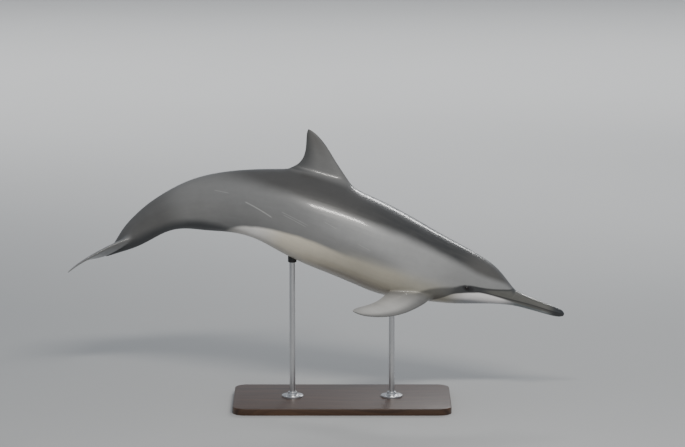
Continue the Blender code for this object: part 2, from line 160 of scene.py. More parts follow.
FLUKE = named_rows(
    FinSection,
    ((1.786, 0.032, 0.004), (1.954, 0.02, 0.001), 0.03),
    ((1.816, 0.064, 0.012), (1.967, 0.056, 0.009), 0.022),
    ((1.854, 0.108, 0.018), (1.958, 0.106, 0.015), 0.016),
    ((1.9, 0.158, 0.018), (1.954, 0.156, 0.015), 0.011),
    ((1.944, 0.204, 0.011), (1.963, 0.204, 0.009), 0.007),
    ((1.966, 0.226, 0.004), (1.972, 0.226, 0.004), 0.005),
)
LEFT_FLIPPER_LIFT = 0.03  # how much higher than the right one's its tip is held
LEAST_THICKNESS = 0.003
CAP_TAPER = 0.55  # how far the last small loop of a snout or a fin draws in
FIN_TIP_ROUNDING = 0.0038
SNOUT_ROUNDING = 0.002


def on_side(sections, side, lift=0.0):
    """The sections of a paired fin, on the left (1) or the right (-1), with its tip raised by lift."""
    placed = []
    for k, section in enumerate(sections):
        rise = lift * k / (len(sections) - 1)
        nose, tail = ((x, side * y, z + rise) for x, y, z in (section.nose, section.tail))
        placed.append(FinSection(nose, tail, section.thickness))
    return placed


FinRoot = namedtuple("FinRoot", "feature row sections upward")
FIN_ROOTS = (
    FinRoot("dorsal", 0, DORSAL_FIN, Vector((0, 1, 0))),
    FinRoot("flipper", FLIPPER_ROW, on_side(FLIPPER, -1), UP),
    FinRoot("flipper", -FLIPPER_ROW, on_side(FLIPPER, 1, LEFT_FLIPPER_LIFT), UP),
    FinRoot("fluke", WIDEST_ROW, on_side(FLUKE, -1), UP),
    FinRoot("fluke", -WIDEST_ROW, on_side(FLUKE, 1), UP),
)
LAYERS = ("dorsal", "flipper", "fluke", "chord")  # how far out on each fin a vertex lies, and how far back

# ------ fine shapes of the skin

SKIN_LEVELS = 3
LIMIT_LEVELS = 5  # of the finer surface that the refined skin settles on

# Each groove, ridge or pit is a pair: its half width, and its depth or height.
EYE = Vector((0.382, 0.0, -0.026))
EYE_RADIUS = 0.0125
EYE_STANDS_OUT = 0.003
EYE_BULGE = 0.035  # of the clear front, as a share of the radius
EYE_REACH = 0.021  # of the finely modelled skin round the eye
EYE_CORNER = (0.0007, 0.0005)
OPENING_HALF_LENGTH, OPENING_HALF_HEIGHT = 0.0092, 0.005
LID_THICKNESS = 0.0009
LID_BLEND = 0.0042  # how softly the lids swell out of the face
LID_TUCK = 0.0022  # how far inside the ball's front the skin lies between the lids
LID_CREASE_REACH, LID_CREASE = 0.0084, (0.0008, 0.0005)
LEAST_CHEEK = 0.03  # skin nearer the middle plane isn't on the side of the head
ON_TOP, BENEATH = 0.05, -0.05  # skin above the first level is the back's, below the second the belly's

Mark = namedtuple("Mark", "along up")
MOUTH_LINE = named_rows(
    Mark, (SNOUT_FRONT, -0.0063), (0.02, -0.0078), (0.1, -0.0105), (0.2, -0.0165), (0.26, -0.0193),
    (0.3, -0.0217), (0.345, -0.0275),
)
MOUTH_CORNER = 0.345
LIP_GROOVE = (0.0011, 0.0016)
LIP_OFFSET, UPPER_LIP, LOWER_LIP = 0.003, (0.002, 0.0005), (0.002, 0.0003)
MELON_FOOT = Mark(0.194, 0.012)  # the top of the crease, which slants back below it
MELON_FOOT_SLANT, MELON_FOLD = 0.45, (0.0035, 0.0012)
BLOWHOLE = Vector((0.352, 0.004, 0.0))
BLOWHOLE_RADIUS, BLOWHOLE_SLIT = 0.013, (0.0013, 0.0035)
BLOWHOLE_RIM_OFFSET, BLOWHOLE_RIM = 0.0035, (0.002, 0.0006)
EAR, EAR_HOLE = Mark(0.428, -0.04), (0.0008, 0.0008)
SLIT_FRONT, SLIT_REAR, SLIT_END = 1.215, 1.285, 0.012  # the genital slit, and the length of its ends
SLIT_GROOVE, SLIT_SIDES = (0.0016, 0.003), (0.006, 0.001)
ANUS, ANUS_PIT = 1.325, (0.0024, 0.0025)
NAVEL, NAVEL_PIT = 0.905, (0.005, 0.002)

# The longest edges allowed at the skin's fine features.
LID_EDGE, EYE_EDGE, LIP_EDGE = 0.00035, 0.0009, 0.0018
BLOWHOLE_EDGE, SLIT_EDGE, EAR_EDGE, PLAIN_EDGE = 0.0009, 0.002, 0.0006, 1.0
MOST_SPLITS = 5


def smooth_value(table, column, along):
    """A monotone cubic through one column of a table, read at a distance along the body."""
    last = len(table) - 1
    if not table[0].along < along < table[last].along:
        return getattr(table[0 if along <= table[0].along else last], column)
    index = max(i for i in range(last) if table[i].along <= along)
    value = [getattr(row, column) for row in table]

    def rise(i):
        return (value[i + 1] - value[i]) / (table[i + 1].along - table[i].along)

    def slope(i):
        if i == 0 or i == last:
            return rise(min(i, last - 1))
        before, after = rise(i - 1), rise(i)
        return 0.0 if before * after <= 0 else 2 * before * after / (before + after)

    width = table[index + 1].along - table[index].along
    share = (along - table[index].along) / width
    climb = (value[index + 1] - value[index]) * (share * share * (3 - 2 * share))
    lift = share * (1 - share) ** 2 * slope(index) - share * share * (1 - share) * slope(index + 1)
    return value[index] + climb + lift * width


def smooth_values(table, column, along):
    """smooth_value at many places at once."""
    steps = np.arange(table[0].along, table[-1].along + 0.001, 0.001)
    return np.interp(along, steps, [smooth_value(table, column, step) for step in steps])


# ------ the spine


def spine_axes(along):
    """The animal's forward, left and up directions at a distance along its spine."""
    pitch = radians(smooth_value(POSES, "pitch", along))
    yaw = radians(smooth_value(POSES, "yaw", along))
    forward = Vector((cos(pitch) * cos(yaw), -cos(pitch) * sin(yaw), sin(pitch)))
    left = UP.cross(forward).normalized()
    up = forward.cross(left)
    roll = radians(smooth_value(POSES, "roll", along))
    return forward, left * cos(roll) + up * sin(roll), up * cos(roll) - left * sin(roll)


def bend(places):
    """World coordinates of an array of places in body coordinates."""
    count = round((BODY_LENGTH + 0.1) / SPINE_STEP)
    spine = [SNOUT_TIP]
    for step in range(count):
        spine.append(spine[-1] - spine_axes((step + 0.5) * SPINE_STEP)[0] * SPINE_STEP)
    spine = np.array(spine)
    fine = np.arange(0, count * SPINE_STEP, SPINE_STEP / 5)
    axes = np.array([spine_axes(along)[1:] for along in fine])
    along = places[:, 0]
    index = np.clip(np.floor(along / SPINE_STEP).astype(int), 0, count - 1)
    share = (along / SPINE_STEP - index)[:, None]
    middle = spine[index] * (1 - share) + spine[index + 1] * share
    left, up = (np.stack([np.interp(along, fine, axes[:, k, i]) for i in range(3)], axis=1) for k in (0, 1))
    left /= np.linalg.norm(left, axis=1, keepdims=True)
    up /= np.linalg.norm(up, axis=1, keepdims=True)
    return middle + left * places[:, 1:2] + up * places[:, 2:3]


# ------ the cage, as in the solids


def ring_places():
    places, start = [SNOUT_FRONT], SNOUT_FRONT
    for span in RING_SPANS:
        step = (span.end - start) / span.steps
        places += [start + step * (i + 1) for i in range(span.steps)]
        start = span.end
    return places


def ring_point(along, row):
    """A cage point of the body: row 0 is the back, and the rows go down the right side and up the left."""
    girth = {column: smooth_value(GIRTHS, column, along) for column in Girth._fields[1:]}
    angle = radians(ROW_ANGLES[min(row, ROWS - row)])
    side = -1 if row <= ROWS // 2 else 1
    reach = girth["back"] - girth["waist"] if angle > 0 else girth["waist"] - girth["belly"]
    across = girth["half"] * max(cos(angle), 0.0) ** (1 + girth["ridge"])
    if row % (ROWS // 2) == 0:
        across = 0.0
    return Vector((along, side * across * CAGE_SWELL, girth["waist"] + reach * sin(angle) * CAGE_SWELL))


def bridge(bm, first, second):
    for k in range(len(first)):
        after = (k + 1) % len(first)
        bm.faces.new((first[k], first[after], second[after], second[k]))


def cap(bm, loop, outward, layers):
    """Closes a loop with a smaller one pushed outward and a ladder between that one's sides."""
    middle = sum((vertex.co for vertex in loop), Vector()) / len(loop)
    inner = [bm.verts.new(vertex.co.lerp(middle, CAP_TAPER) + outward) for vertex in loop]
    for made, vertex in zip(inner, loop):
        for layer in layers.values():
            made[layer] = vertex[layer]
    bridge(bm, loop, inner)
    half = len(loop) // 2
    bm.faces.new((inner[0], inner[1], inner[-1]))
    for k in range(1, half - 1):
        bm.faces.new((inner[k], inner[k + 1], inner[-k - 1], inner[-k]))
    bm.faces.new((inner[half - 1], inner[half], inner[half + 1]))


def root_loop(rings, first, last, middle):
    """The edge of a patch of the body two faces wide, from its front middle vertex round one side."""
    rows = [(middle + step) % ROWS for step in (-1, 0, 1)]
    if middle >= 0:
        rows.reverse()
    along = range(first, last + 1)
    loop = [rings[first][rows[1]]] + [rings[i][rows[2]] for i in along]
    return loop + [rings[last][rows[1]]] + [rings[i][rows[0]] for i in reversed(along)]


def foil_thickness(share):
    """Half a fin section's thickness at a share of its chord, over its full thickness."""
    series = 0.2969 * sqrt(share) - 0.126 * share - 0.3516 * share**2
    return 5 * (series + 0.2843 * share**3 - 0.1015 * share**4)


def foil_loop(bm, count, section, across, chord):
    """A loop round a fin's section: nose, one side, tail, the other side. across points to the first side."""
    half = count // 2
    nose, tail = Vector(section.nose), Vector(section.tail)
    loop = []
    for k in range(count):
        step = min(k, count - k)
        share = (1 - cos(pi * step / half)) / 2
        side = 0 if step in (0, half) else (1 if k < half else -1)
        depth = max(foil_thickness(share) * section.thickness, LEAST_THICKNESS / 2)
        vertex = bm.verts.new(nose + (tail - nose) * share + across * side * depth)
        vertex[chord] = share
        loop.append(vertex)
    return loop


def fin_acrosses(sections, upward):
    """The direction through each section of a fin, square to its chord and its span."""
    middles = [(Vector(s.nose) + Vector(s.tail)) / 2 for s in sections]
    found = []
    for k, section in enumerate(sections):
        span = middles[min(k + 1, len(middles) - 1)] - middles[max(k - 1, 0)]
        across = (Vector(section.tail) - Vector(section.nose)).cross(span).normalized()
        found.append(across if across.dot(upward) > 0 else -across)
    return found


def grow_fin(bm, root, loop, layers):
    """Builds a fin out from a loop of the body, and marks how far out and how far back each vertex lies."""
    sections = root.sections
    for k, (section, across) in enumerate(zip(sections, fin_acrosses(sections, root.upward))):
        outer = foil_loop(bm, len(loop), section, across, layers["chord"])
        for vertex in outer:
            vertex[layers[root.feature]] = (k + 1) / len(sections)
        bridge(bm, loop, outer)
        loop = outer
    last, before = (Vector(section.nose) + Vector(section.tail) for section in (sections[-1], sections[-2]))
    cap(bm, loop, (last - before).normalized() * FIN_TIP_ROUNDING, layers)


def cage_mesh():
    """The whole animal, straight, in body coordinates."""
    bm = bmesh.new()
    for name in LAYERS:
        bm.verts.layers.float.new(name)
    layers = {name: bm.verts.layers.float[name] for name in LAYERS}
    rings = [[bm.verts.new(ring_point(place, row)) for row in range(ROWS)] for place in ring_places()]
    features = [span.feature for span in RING_SPANS for _ in range(span.steps)]
    open_faces = set()
    for root in FIN_ROOTS:
        steps = [i for i, feature in enumerate(features) if feature == root.feature]
        open_faces |= {(i, (root.row + side) % ROWS) for i in steps for side in (-1, 0)}
        grow_fin(bm, root, root_loop(rings, steps[0], steps[-1] + 1, root.row), layers)
    for i in range(len(features)):
        for row in range(ROWS):
            if (i, row) not in open_faces:
                after = (row + 1) % ROWS
                bm.faces.new((rings[i][row], rings[i][after], rings[i + 1][after], rings[i + 1][row]))
    cap(bm, rings[0], Vector((-SNOUT_ROUNDING, 0, 0)), layers)
    cap(bm, rings[-1], Vector((SNOUT_ROUNDING, 0, 0)), layers)
    bmesh.ops.recalc_face_normals(bm, faces=bm.faces)
    return finished(bm, "cage")


# ------ the fine skin, still straight


def linked(name, mesh):
    obj = bpy.data.objects.new(name, mesh)
    bpy.context.scene.collection.objects.link(obj)
    return obj


def finished(bm, name):
    """The mesh made from a bmesh, which is freed."""
    mesh = bpy.data.meshes.new(name)
    bm.to_mesh(mesh)
    bm.free()
    return mesh


def evaluated_mesh(obj):
    return bpy.data.meshes.new_from_object(obj.evaluated_get(bpy.context.evaluated_depsgraph_get()))


def subdivided(name, mesh, levels):
    obj = linked(name, mesh)
    modifier = obj.modifiers.new("smooth", "SUBSURF")
    modifier.levels = modifier.render_levels = levels
    return obj


def eye_opening(u, v):
    """Below 0 between the lids, at a place ahead of (u) and above (v) the middle of the eye."""
    return np.abs(v) - OPENING_HALF_HEIGHT * (1 - (u / OPENING_HALF_LENGTH) ** 2)


def wanted_edge(place):
    """The longest edge that the skin may have at a place."""
    along, side, up = place
    if (along - EYE.x) ** 2 + (up - EYE.z) ** 2 < EYE_REACH**2 and abs(side) > LEAST_CHEEK:
        return LID_EDGE if abs(eye_opening(along - EYE.x, up - EYE.z)) < 0.0012 else EYE_EDGE
    if along < MOUTH_CORNER + 0.012 and abs(up - smooth_value(MOUTH_LINE, "up", along)) < 0.006:
        return LIP_EDGE
    if (along - BLOWHOLE.x + 0.004) ** 2 + (side - BLOWHOLE.y) ** 2 < 0.024**2 and up > ON_TOP:
        return BLOWHOLE_EDGE
    if abs(side) < 0.012 and up < BENEATH and SLIT_FRONT - 0.02 < along < ANUS + 0.02:
        return SLIT_EDGE
    if (along - EAR.along) ** 2 + (up - EAR.up) ** 2 < 0.004**2:
        return EAR_EDGE
    return PLAIN_EDGE


def refine(mesh):
    """Splits the edges that are longer than wanted_edge, up to MOST_SPLITS times over."""
    bm = bmesh.new()
    bm.from_mesh(mesh)
    for _ in range(MOST_SPLITS):
        long = [e for e in bm.edges if e.calc_length() > wanted_edge((e.verts[0].co + e.verts[1].co) / 2)]
        if not long:
            break
        bmesh.ops.subdivide_edges(bm, edges=long, cuts=1, use_grid_fill=True)
    bmesh.ops.triangulate(bm, faces=[face for face in bm.faces if len(face.verts) > 4])
    bm.to_mesh(mesh)
    bm.free()


def straight_skin():
    """The fine skin before it is bent, on the same smooth surface as the solids."""
    cage = cage_mesh()
    coarse = subdivided("coarse", cage, SKIN_LEVELS)
    limit = subdivided("limit", cage.copy(), LIMIT_LEVELS)
    mesh = evaluated_mesh(coarse)
    refine(mesh)
    skin = linked("straight", mesh)
    settle = skin.modifiers.new("settle", "SHRINKWRAP")
    settle.target = limit
    settle.wrap_method = "NEAREST_SURFACEPOINT"
    settled = evaluated_mesh(skin)
    for obj in (coarse, limit, skin):
        bpy.data.objects.remove(obj)
    return settled


# ------ lids, lips and folds


def ease(values, low, high):
    """0 at low, 1 at high, and smooth between them."""
    share = np.clip((values - low) / (high - low), 0, 1)
    return share * share * (3 - 2 * share)


def ridge(distance, size):
    """A smooth rise that fades to either side, by its half width and height."""
    half, height = size
    return height * np.exp(-((distance / half) ** 2))


def groove(distance, size):
    return -ridge(distance, size)


def raise_lids(places):
    """Lays the skin round each eyeball as two lids, and tucks it behind the ball where they part."""
    u, v = places[:, 0] - EYE.x, places[:, 2] - EYE.z
    radius = np.hypot(u, v)
    near = (radius < EYE_REACH) & (np.abs(places[:, 1]) > LEAST_CHEEK)
    side = np.sign(places[:, 1])
    out = np.abs(places[:, 1])
    middle = abs(ring_point(EYE.x, WIDEST_ROW).y) / CAGE_SWELL - EYE_RADIUS + EYE_STANDS_OUT
    ball = middle + np.sqrt(np.maximum(EYE_RADIUS**2 - radius**2, 0))
    lid = middle + np.sqrt(np.maximum((EYE_RADIUS + LID_THICKNESS) ** 2 - radius**2, 0))
    over = np.clip(0.5 + (lid - out) / (2 * LID_BLEND), 0, 1)
    swell = LID_BLEND * over * (1 - over) * (1 - ease(radius, 0.015, EYE_REACH))
    outer = out * (1 - over) + lid * over + swell
    crease = groove(np.hypot(u / 1.3, v) - LID_CREASE_REACH, LID_CREASE)
    outer += crease * (ease(v, 0.001, 0.006) + 0.6 * ease(-v, 0.002, 0.006))
    corner = ease(np.abs(u), 0.0085, 0.01) * (1 - ease(np.abs(u), 0.012, 0.015))
    outer += corner * groove(v, EYE_CORNER)
    parted = ease(eye_opening(u, v), -0.0005, 0.0005)
    lidded = outer * parted + (ball - LID_TUCK) * (1 - parted)
    places[:, 1] = np.where(near, side * lidded, places[:, 1])


def relief(places):
    """How far the skin rises along its normal at each place on the straight animal."""
    along, side, up = places.T
    lift = np.zeros(len(places))

    lip = up - smooth_values(MOUTH_LINE, "up", along)
    closed = 1 - ease(along, MOUTH_CORNER - 0.02, MOUTH_CORNER + 0.004)
    closed = closed * (0.35 + 0.65 * ease(along, -0.013, 0.01))
    lips = ridge(lip - LIP_OFFSET, UPPER_LIP) + ridge(lip + LIP_OFFSET, LOWER_LIP)
    lift += closed * (groove(lip, LIP_GROOVE) + lips)

    foot = MELON_FOOT.along + MELON_FOOT_SLANT * np.maximum(MELON_FOOT.up - up, 0)
    on_melon = ease(up, -0.01, 0.002)
    lift += on_melon * groove(along - foot, MELON_FOLD)

    u, v = along - BLOWHOLE.x, side - BLOWHOLE.y
    on_top = (up > ON_TOP) & (np.hypot(u, v) < 0.03)
    reach = np.hypot(u + BLOWHOLE_RADIUS * 0.7, v) - BLOWHOLE_RADIUS
    crescent = (1 - ease(np.abs(v), 0.009, 0.0125)) * ease(u, -0.009, -0.003)
    rim = ridge(reach - BLOWHOLE_RIM_OFFSET, BLOWHOLE_RIM)
    lift += np.where(on_top, crescent * (groove(reach, BLOWHOLE_SLIT) + rim), 0)

    slit = ease(along, SLIT_FRONT, SLIT_FRONT + SLIT_END)
    slit *= 1 - ease(along, SLIT_REAR - SLIT_END, SLIT_REAR)
    folds = slit * (groove(side, SLIT_GROOVE) + ridge(side, SLIT_SIDES))
    for middle, pit in ((ANUS, ANUS_PIT), (NAVEL, NAVEL_PIT)):
        folds += groove(np.hypot((along - middle) / 2, side), pit)
    lift += np.where(up < BENEATH, folds, 0)
    return lift + groove(np.hypot(along - EAR.along, up - EAR.up), EAR_HOLE)


def rows_of(source, attribute):
    """A three-part attribute of each vertex or normal, as the rows of an array."""
    found = np.empty(len(source) * 3)
    source.foreach_get(attribute, found)
    return found.reshape(-1, 3)


def flat(values):
    return values.astype(np.float32).ravel()


def add_skin():
    """The whole animal's skin, with its straight place kept on each vertex."""
    mesh = straight_skin()
    places = rows_of(mesh.vertices, "co")
    shaped = places + rows_of(mesh.vertex_normals, "vector") * relief(places)[:, None]
    raise_lids(shaped)
    kept = mesh.attributes.new("straight", "FLOAT_VECTOR", "POINT")
    kept.data.foreach_set("vector", flat(places))
    mesh.vertices.foreach_set("co", flat(bend(shaped)))
    mesh.update()
    mesh.shade_smooth()
    skin = linked("skin", mesh)
    mesh.materials.append(skin_material())
    flesh = [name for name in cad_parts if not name.startswith(("eye_", "stand_"))]
    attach(skin, "root")
    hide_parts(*flesh)
    return skin


# ------ material patterns


class Pattern:
    """Short names for making the nodes of one material."""

    def __init__(self, name, roughness=0.5, metallic=0.0, coat=0.0, coat_roughness=0.1):
        self.material = bpy.data.materials.new(name)
        self.material.use_nodes = True
        self.nodes = self.material.node_tree.nodes
        self.shader = self.nodes["Principled BSDF"]
        self.set("Roughness", roughness)
        self.set("Metallic", metallic)
        self.set("Coat Weight", coat)
        self.set("Coat Roughness", coat_roughness)

    def node(self, kind, values=(), **settings):
        """A shader node with its first inputs given, each a number, a tuple, a node's output or None."""
        made = self.nodes.new(f"ShaderNode{kind}")
        for name, setting in settings.items():
            setattr(made, name, setting)
        for socket, value in zip([s for s in made.inputs if s.enabled], values):
            self.give(socket, value)
        return made

    def give(self, socket, value):
        if isinstance(value, bpy.types.NodeSocket):
            self.material.node_tree.links.new(value, socket)
        elif value is not None:
            socket.default_value = (*value, 1.0) if socket.type == "RGBA" else value

    def set(self, name, value):
        self.give(self.shader.inputs[name], value)

    def math(self, operation, *values):
        return self.node("Math", values, operation=operation).outputs[0]

    def sum(self, *values):
        return reduce(lambda total, value: self.math("ADD", total, value), values)

    def product(self, *values):
        return reduce(lambda total, value: self.math("MULTIPLY", total, value), values)

    def minus(self, value, other):
        return self.math("SUBTRACT", value, other)

    def inverse(self, value):
        return self.minus(1.0, value)

    def ease(self, value, low, high, most=1.0):
        """0 at low, most at high, and smooth between them. low may lie above high."""
        values = (value, low, high, 0.0, most)
        return self.node("MapRange", values, interpolation_type="SMOOTHSTEP").outputs[0]

    def mix(self, share, first, second):
        """A colour between two colours."""
        return self.node("Mix", (share, first, second), data_type="RGBA").outputs[2]

    def noise(self, vector, scale, detail=3.0, roughness=0.5):
        return self.node("TexNoise", (vector, scale, detail, roughness)).outputs["Fac"]

    def times(self, vector, other):
        """Two vectors or colours multiplied part by part."""
        return self.node("VectorMath", (vector, other), operation="MULTIPLY").outputs[0]

    def attribute(self, name, output="Fac"):
        return self.node("Attribute", attribute_name=name).outputs[output]

    def bump(self, height, distance, strength, under=None):
        return self.node("Bump", (strength, distance, None, height, under)).outputs["Normal"]

    def parts(self, vector):
        return self.node("SeparateXYZ", (vector,)).outputs

    def object_place(self):
        return self.node("TexCoord").outputs["Object"]


class BodyPattern(Pattern):
    """A pattern over the straight animal."""

    def __init__(self, name, **settings):
        super().__init__(name, **settings)
        self.place = self.attribute("straight", "Vector")
        self.along, self.side, self.up = self.parts(self.place)
        self.out = self.math("ABSOLUTE", self.side)

    def line(self, marks):
        """The level of a line drawn along the body through (along, level) marks."""
        low, high = min(level for _, level in marks), max(level for _, level in marks)
        room = max((high - low) * 0.2, 0.01)
        low, high = low - room, high + room
        curve = self.node("FloatCurve", (1.0, self.math("DIVIDE", self.along, BODY_LENGTH)))
        points = curve.mapping.curves[0].points
        scaled = [(along / BODY_LENGTH, (level - low) / (high - low)) for along, level in marks]
        for point, place in zip(points, (scaled[0], scaled[-1])):
            point.location = place
        for place in scaled[1:-1]:
            points.new(*place)
        curve.mapping.update()
        return self.math("MULTIPLY_ADD", curve.outputs[0], high - low, low)

    def above(self, marks, softness, wander=None):
        """1 above a line drawn along the body and 0 below it."""
        height = self.minus(self.up, self.line(marks))
        if wander is not None:
            height = self.sum(height, wander)
        return self.ease(self.math("DIVIDE", height, softness), -1.0, 1.0)

    def change(self, start, end, first, second):
        """A colour that is the first before start and the second after end along the body."""
        return self.mix(self.ease(self.along, start, end), first, second)

    def between(self, start, end, softness):
        """1 from start to end along the body."""
        into = self.ease(self.along, start - softness, start + softness)
        return self.product(into, self.ease(self.along, end + softness, end - softness))

    def spot(self, along, up, half_length, half_height, softness=0.3):
        """1 inside an ellipse on either side of the body."""
        u = self.math("DIVIDE", self.minus(self.along, along), half_length)
        v = self.math("DIVIDE", self.minus(self.up, up), half_height)
        radius = self.math("SQRT", self.sum(self.product(u, u), self.product(v, v)))
        return self.ease(radius, 1 + softness, 1 - softness)

    def scratch(self, start, end, half_width):
        """1 on a thin line between two (along, up) places of the right flank."""
        (s0, t0), (s1, t1) = start, end
        length = hypot(s1 - s0, t1 - t0)
        ds, dt = (s1 - s0) / length, (t1 - t0) / length
        u, v = self.minus(self.along, s0), self.minus(self.up, t0)
        run = self.sum(self.product(u, ds), self.product(v, dt))
        off = self.math("ABSOLUTE", self.minus(self.product(v, ds), self.product(u, dt)))
        thin = self.ease(off, half_width, half_width * 0.3)
        ends = self.product(self.ease(run, 0.0, 0.01), self.ease(run, length, length - 0.01))
        return self.product(thin, ends, self.ease(self.side, 0.0, -0.02))


# ------ the skin's colours

# As they are painted, before the mottling and the light; the undersides of the throat, the belly and the tail
# stock also carry painted shade.
CAPE = (0.04, 0.04, 0.04)
CAPE_WORN = (0.054, 0.053, 0.051)
CAPE_HEAD = (0.082, 0.079, 0.075)
CAPE_REAR = (0.062, 0.06, 0.058)
FLANK = (0.29, 0.29, 0.287)
FLANK_HEAD = (0.225, 0.225, 0.222)
FLANK_LOW = (0.185, 0.185, 0.183)
FLANK_REAR = (0.178, 0.178, 0.176)
TAIL = (0.186, 0.185, 0.181)
TAIL_END = (0.11, 0.108, 0.105)
# painted shade on the tail stock's underside, darker than its own grey
TAIL_UNDER_SHADE = (0.036, 0.038, 0.041)
BELLY = (0.38, 0.35, 0.285)
BELLY_MIDDLE = (0.74, 0.675, 0.55)
BELLY_REAR = (0.93, 0.895, 0.85)
# painted shade on the belly's underside, darker than its own pale colour
BELLY_UNDER_SHADE = (0.36, 0.335, 0.3)
BREAST = (0.48, 0.455, 0.41)
CHEST_TINT = (0.365, 0.345, 0.288)
THROAT = (0.76, 0.73, 0.72)
# painted shade on the throat's underside, darker than its own white
THROAT_UNDER_SHADE = (0.21, 0.22, 0.24)
STRIPE = (0.03, 0.031, 0.032)
BEAK = (0.088, 0.086, 0.077)
BEAK_PALE = tuple(1.25 * part for part in BEAK)
BEAK_TIP = (0.028, 0.03, 0.032)
JAW = (0.135, 0.15, 0.155)
JAW_FRONT = (0.205, 0.222, 0.222)
LIP = (0.024, 0.024, 0.025)
EYE_PATCH = (0.017, 0.017, 0.018)
FIN = (0.142, 0.141, 0.138)
FIN_TIP = (0.115, 0.112, 0.108)
FIN_EDGE = (0.066, 0.067, 0.067)
FLIPPER_ROOT = (0.115, 0.112, 0.106)
FLIPPER_SKIN = (0.42, 0.41, 0.39)
FLUKE_SKIN = (0.165, 0.165, 0.164)
SCAR = (0.36, 0.36, 0.35)

# The edges of the markings and of the painted shade, as (along, up) places that a smooth line runs through.
CAPE_EDGE = (
    (0.205, 0.018), (0.22, 0.025), (0.26, 0.035), (0.34, 0.038), (0.42, 0.048), (0.5, 0.06), (0.6, 0.071),
    (0.75, 0.083), (1.0, 0.079), (1.2, 0.085), (1.4, 0.105), (1.6, 0.09),
)
BELLY_EDGE = (
    (0.5, -0.085), (0.65, -0.06), (0.8, -0.065), (1.0, -0.06), (1.15, -0.067), (1.25, -0.076),
    (1.335, -0.094), (1.4, -0.13),
)
# below this line the belly's underside gets painted shade
BELLY_SHADE_LINE = ((0.7, -0.15), (0.85, -0.138), (1.0, -0.146), (1.1, -0.132), (1.22, -0.113), (1.32, -0.094))
# below this line the throat's underside gets painted shade
THROAT_SHADE_LINE = ((0.18, -0.036), (0.25, -0.048), (0.3, -0.059), (0.34, -0.066), (0.4, -0.082), (0.46, -0.106))
BREAST_EDGE = ((0.38, -0.098), (0.44, -0.116), (0.5, -0.128), (0.56, -0.136), (0.66, -0.146), (0.76, -0.14))
# below this line the tail stock's underside gets painted shade
TAIL_SHADE_LINE = (
    (1.28, -0.125), (1.34, -0.1), (1.4, -0.078), (1.5, -0.052), (1.6, -0.036), (1.75, -0.014),
)
# From the crease at the foot of the melon back to the eye and down to the flipper.
BAND_TOP = (
    (0.19, 0.06), (0.203, 0.028), (0.213, 0.0205), (0.248, 0.011), (0.296, -0.001), (0.332, -0.0075),
    (0.364, -0.0115), (0.396, -0.0195), (0.43, -0.038), (0.464, -0.051), (0.488, -0.061), (0.512, -0.074),
    (0.535, -0.09), (0.56, -0.112), (0.6, -0.15),
)
THROAT_TOP = (
    (0.0, -0.015), (0.1, -0.019), (0.16, -0.0225), (0.27, -0.0225), (0.31, -0.0245), (0.352, -0.0355),
    (0.4, -0.054), (0.424, -0.066), (0.444, -0.084), (0.464, -0.102), (0.49, -0.123), (0.53, -0.17),
)
# How these change along the body, as (along, value).
BAND_STRENGTH = (
    (0.0, 1.0), (0.4, 0.95), (0.43, 0.82), (0.46, 0.7), (0.49, 0.68), (0.53, 0.72), (0.6, 0.6),
)
BAND_SOFTNESS = ((0.0, 0.004), (0.36, 0.004), (0.45, 0.008), (0.6, 0.01))
CAPE_STRENGTH = ((0.15, 1.0), (1.1, 1.0), (1.3, 0.9), (1.45, 0.35), (1.6, 0.3))
CAPE_SOFTNESS = (
    (0.2, 0.008), (0.3, 0.013), (0.45, 0.017), (0.7, 0.022), (1.0, 0.018), (1.25, 0.03), (1.5, 0.04),
)
BELLY_SOFTNESS = ((0.5, 0.03), (0.8, 0.016), (1.0, 0.009), (1.4, 0.008))

# Pale scars on the right flank, each from one (along, up) place to another.
MAIN_SCAR = ((1.173, -0.021), (1.287, 0.021))
MAIN_SCAR_HALF, RAKE_HALF = 0.0032, 0.0017
RAKES = (
    ((1.035, -0.006), (1.15, 0.012)), ((1.04, -0.014), (1.14, 0.003)), ((0.93, 0.02), (0.99, 0.03)),
    ((0.78, -0.012), (0.84, -0.004)), ((1.34, 0.046), (1.4, 0.058)),
)


def body_colour(p, wander, streaks):
    """The flank, the belly and the cape, with painted shade on the undersides of the belly and the tail
    stock.
    """
    flank = p.change(0.58, 0.4, FLANK, FLANK_HEAD)
    flank = p.change(0.75, 1.15, flank, FLANK_REAR)
    low = p.product(p.ease(p.up, 0.02, -0.04), p.between(0.68, 1.15, 0.08))
    flank = p.mix(low, flank, FLANK_LOW)
    flank = p.change(1.3, 1.5, flank, TAIL)
    flank = p.change(1.5, 1.64, flank, TAIL_END)
    # painted shade darkens the tail stock's underside below its line
    under = p.inverse(p.above(TAIL_SHADE_LINE, 0.019, wander))
    flank = p.mix(p.product(under, p.ease(p.along, 1.28, 1.38)), flank, TAIL_UNDER_SHADE)
    chest = p.product(p.between(0.44, 0.85, 0.1), p.ease(p.up, -0.02, -0.09))
    colour = p.mix(chest, flank, CHEST_TINT)

    belly = p.inverse(p.above(BELLY_EDGE, p.line(BELLY_SOFTNESS), wander))
    belly = p.product(belly, p.between(0.62, 1.345, 0.06))
    belly_colour = p.change(0.76, 1.17, BELLY, BELLY_MIDDLE)
    belly_colour = p.change(1.1, 1.24, belly_colour, BELLY_REAR)
    # painted shade darkens the belly below its line
    belly_shade = p.product(p.inverse(p.above(BELLY_SHADE_LINE, 0.014, wander)), 0.7)
    colour = p.mix(belly, colour, p.mix(belly_shade, belly_colour, BELLY_UNDER_SHADE))

    cape = p.product(p.above(CAPE_EDGE, p.line(CAPE_SOFTNESS), wander), p.line(CAPE_STRENGTH))
    cape_colour = p.mix(p.ease(streaks, 0.35, 0.75), CAPE, CAPE_WORN)
    cape_colour = p.change(0.48, 0.34, cape_colour, CAPE_HEAD)
    cape_colour = p.change(0.68, 0.95, cape_colour, CAPE_REAR)
    return p.mix(cape, colour, cape_colour)


